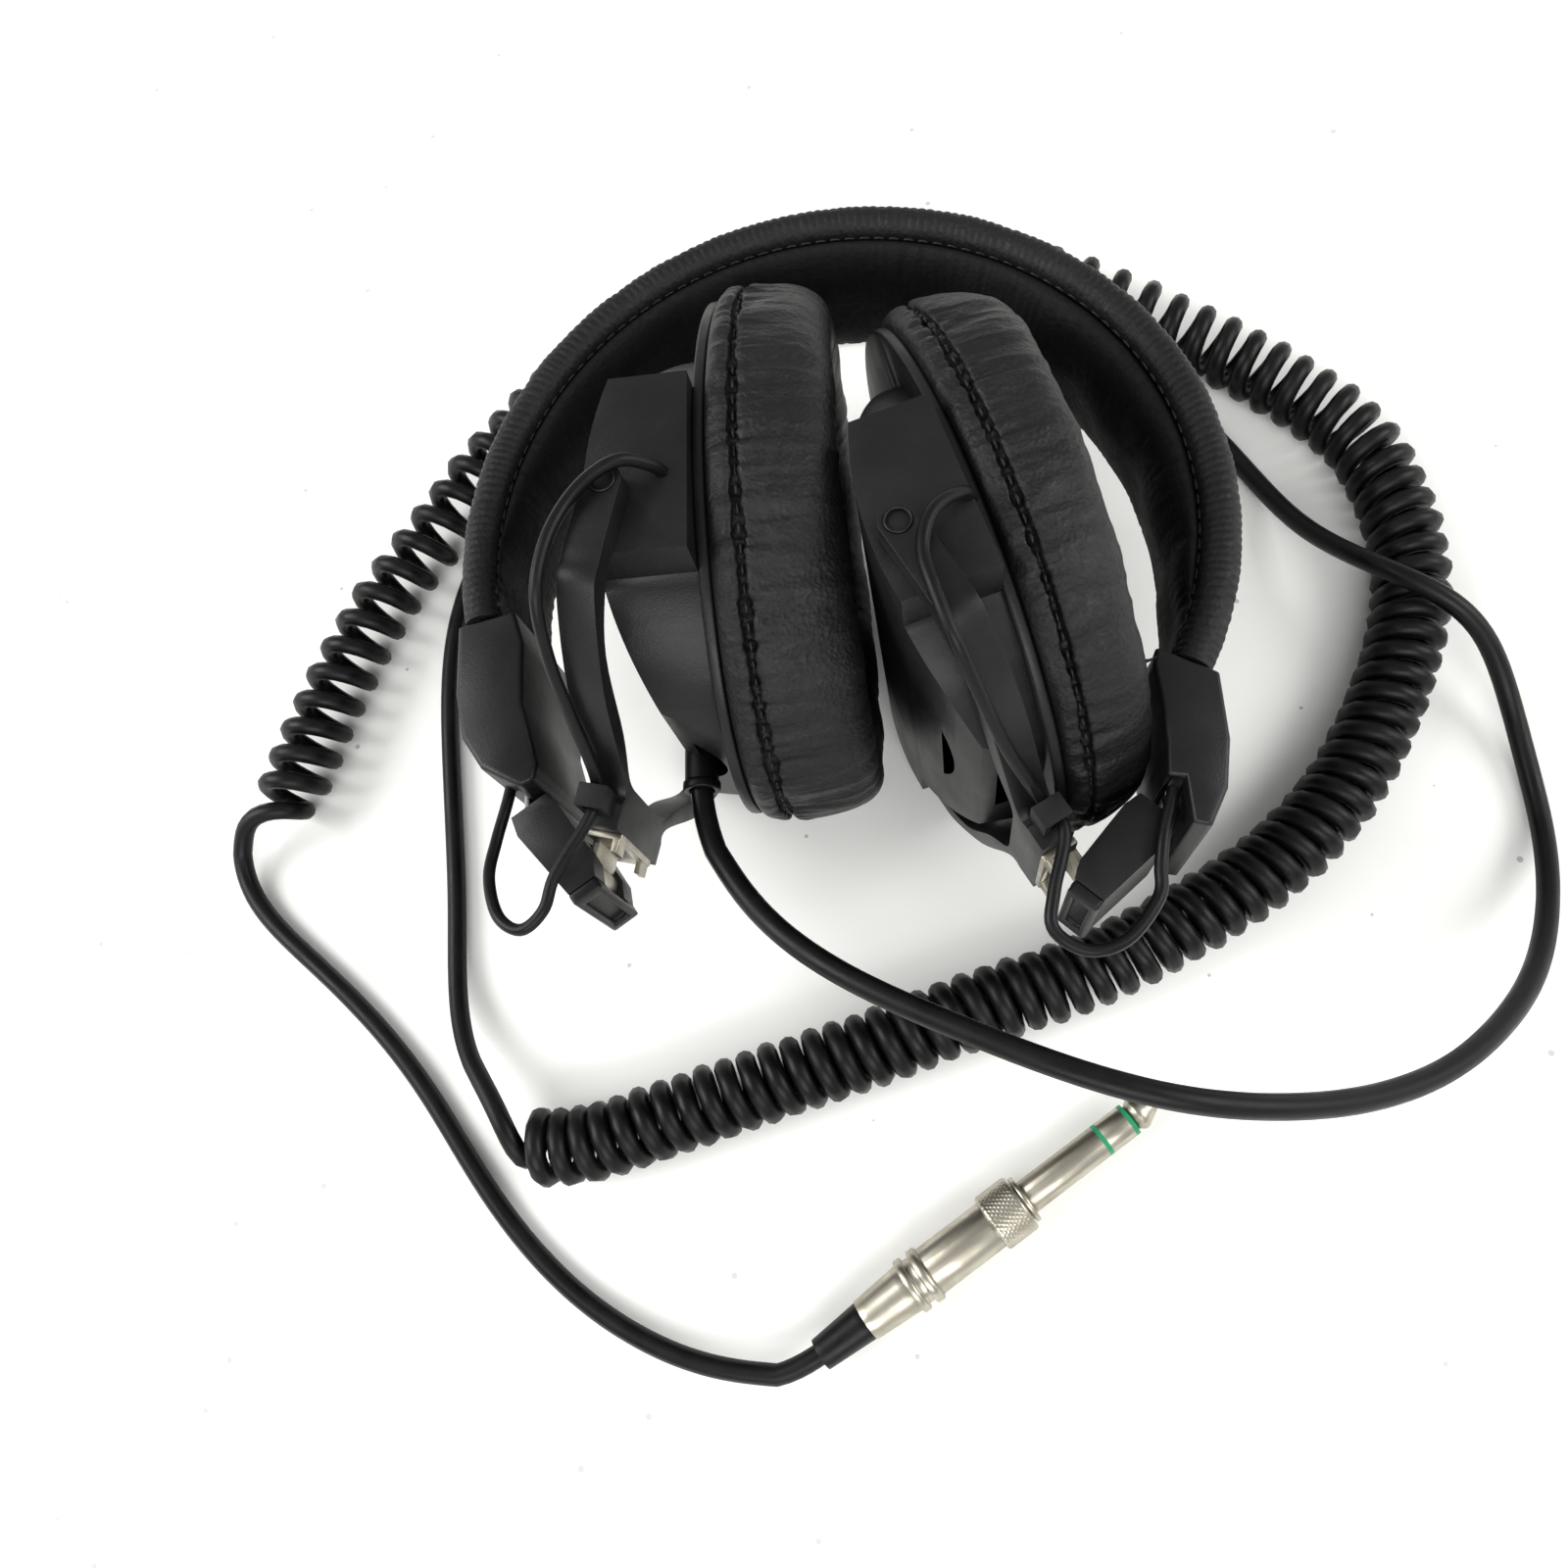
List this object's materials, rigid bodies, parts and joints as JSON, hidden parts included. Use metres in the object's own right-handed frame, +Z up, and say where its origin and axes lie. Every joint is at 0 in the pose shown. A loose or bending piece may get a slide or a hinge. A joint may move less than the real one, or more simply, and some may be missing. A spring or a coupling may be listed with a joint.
{
  "type": "folding studio headphones",
  "caption": "Folding over-ear studio headphones with padded headband, sliding hinged yokes, closed cups and a curly cord with a jack plug, shown folded flat on their side.",
  "frame": {"origin": "on the table, under the middle of the headphones' own box, the cord and plug left out", "axes": "+Z up from the table, across the head; +Y from the folded cups to the crown of the headband; +X to the right cup"},
  "size_m": [0.2791, 0.2584, 0.101],
  "materials": {
    "leather": "wrinkled, soft sheen",
    "spring_steel": "satin",
    "nickel_steel": "satin",
    "magnet": "matte",
    "cord": "satin",
    "nickel": "satin",
    "insulator": "glossy",
    "driver": "matte",
    "plastic": "fine satin"
  },
  "bodies": {
    "cup_left": {"housing_left": "plastic", "pivot_pins_left": "plastic", "baffle_left": "plastic", "driver_left": "driver", "magnet_left": "magnet", "baffle_screws_left": "nickel_steel", "pad_left": "leather", "strain_relief": "cord", "cord_lead": "cord", "cord_coil": "cord", "cord_tail": "cord", "plug_sleeve": "cord", "plug_body": "nickel", "plug_rings": "nickel", "plug_nut": "nickel", "jack_shaft": "nickel", "jack_insulators": "insulator"},
    "yoke_left": {"yoke_left": "plastic", "bracket_left": "nickel_steel", "clip_left": "cord", "wire_left": "cord"},
    "hinge_left": {"hinge_block_left": "plastic", "hinge_cap_left": "plastic", "fold_pin_left": "nickel_steel", "slider_left": "spring_steel"},
    "headband": {"band_skin": "leather", "band_spring": "spring_steel", "band_liner": "leather", "band_rolls": "leather", "end_block_left": "plastic", "end_block_right": "plastic", "end_cover_left": "plastic", "end_cover_right": "plastic"},
    "hinge_right": {"hinge_block_right": "plastic", "hinge_cap_right": "plastic", "fold_pin_right": "nickel_steel", "slider_right": "spring_steel"},
    "yoke_right": {"yoke_right": "plastic", "bracket_right": "nickel_steel", "clip_right": "cord", "wire_right": "cord"},
    "cup_right": {"housing_right": "plastic", "pivot_pins_right": "plastic", "baffle_right": "plastic", "driver_right": "driver", "magnet_right": "magnet", "baffle_screws_right": "nickel_steel", "pad_right": "leather"}
  },
  "joints": [
    {"name": "tilt_left", "type": "hinge", "parent": "cup_left", "child": "yoke_left", "pos_m": [-0.03124, -0.00532, 0.049], "axis": [0, 0, -1], "range_deg": [-0.3, 0.3], "deforming": ["wire_left"]},
    {"name": "fold_left", "type": "hinge", "parent": "yoke_left", "child": "hinge_left", "pos_m": [-0.04491, -0.05457, 0.049], "axis": [0, 0, 1], "range_deg": [-0.3, 0.3], "deforming": ["wire_left"]},
    {"name": "extend_left", "type": "slide", "parent": "hinge_left", "child": "headband", "axis": [-0.0698, 0.9976, 0], "range_m": [0, 0.015], "deforming": ["wire_left"]},
    {"name": "extend_right", "type": "slide", "parent": "headband", "child": "hinge_right", "axis": [0, -1, 0], "range_m": [0, 0.01], "deforming": ["wire_right"]},
    {"name": "fold_right", "type": "hinge", "parent": "hinge_right", "child": "yoke_right", "pos_m": [0.041, -0.05831, 0.049], "axis": [0, 0, 1], "range_deg": [-0.3, 0.3], "deforming": ["wire_right"]},
    {"name": "tilt_right", "type": "hinge", "parent": "yoke_right", "child": "cup_right", "pos_m": [0.01249, -0.0159, 0.049], "axis": [0, 0, -1], "range_deg": [-0.3, 0.3], "deforming": ["wire_right"]}
  ]
}
